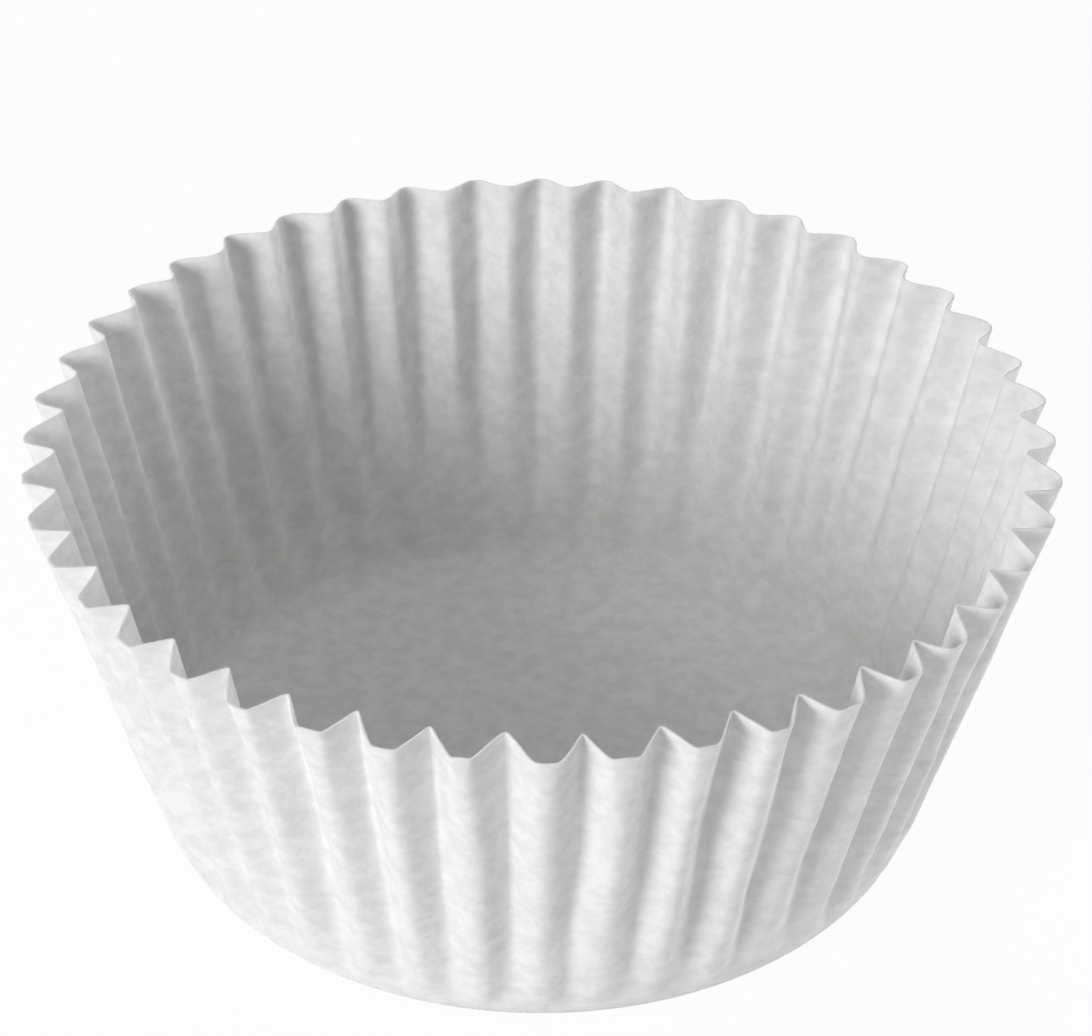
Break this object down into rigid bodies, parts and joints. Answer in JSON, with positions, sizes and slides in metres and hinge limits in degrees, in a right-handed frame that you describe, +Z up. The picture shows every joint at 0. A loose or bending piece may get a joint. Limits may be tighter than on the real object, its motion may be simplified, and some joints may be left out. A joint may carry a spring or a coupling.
{
  "type": "paper baking cup",
  "caption": "Round pleated paper cup for baking, with a flat floor, a rounded foot and a flaring fluted wall, open at the top.",
  "frame": {"origin": "middle of the underside of the floor, on the surface that the cup stands on", "axes": "+Z up along the cup's axis, out of its mouth; a ridge of the wall lies on each of +X, -X, +Y and -Y"},
  "size_m": [0.063, 0.063, 0.0261],
  "materials": {
    "white_paper": "matte"
  },
  "bodies": {
    "root": {"pleated_cup": "white_paper"}
  },
  "joints": []
}
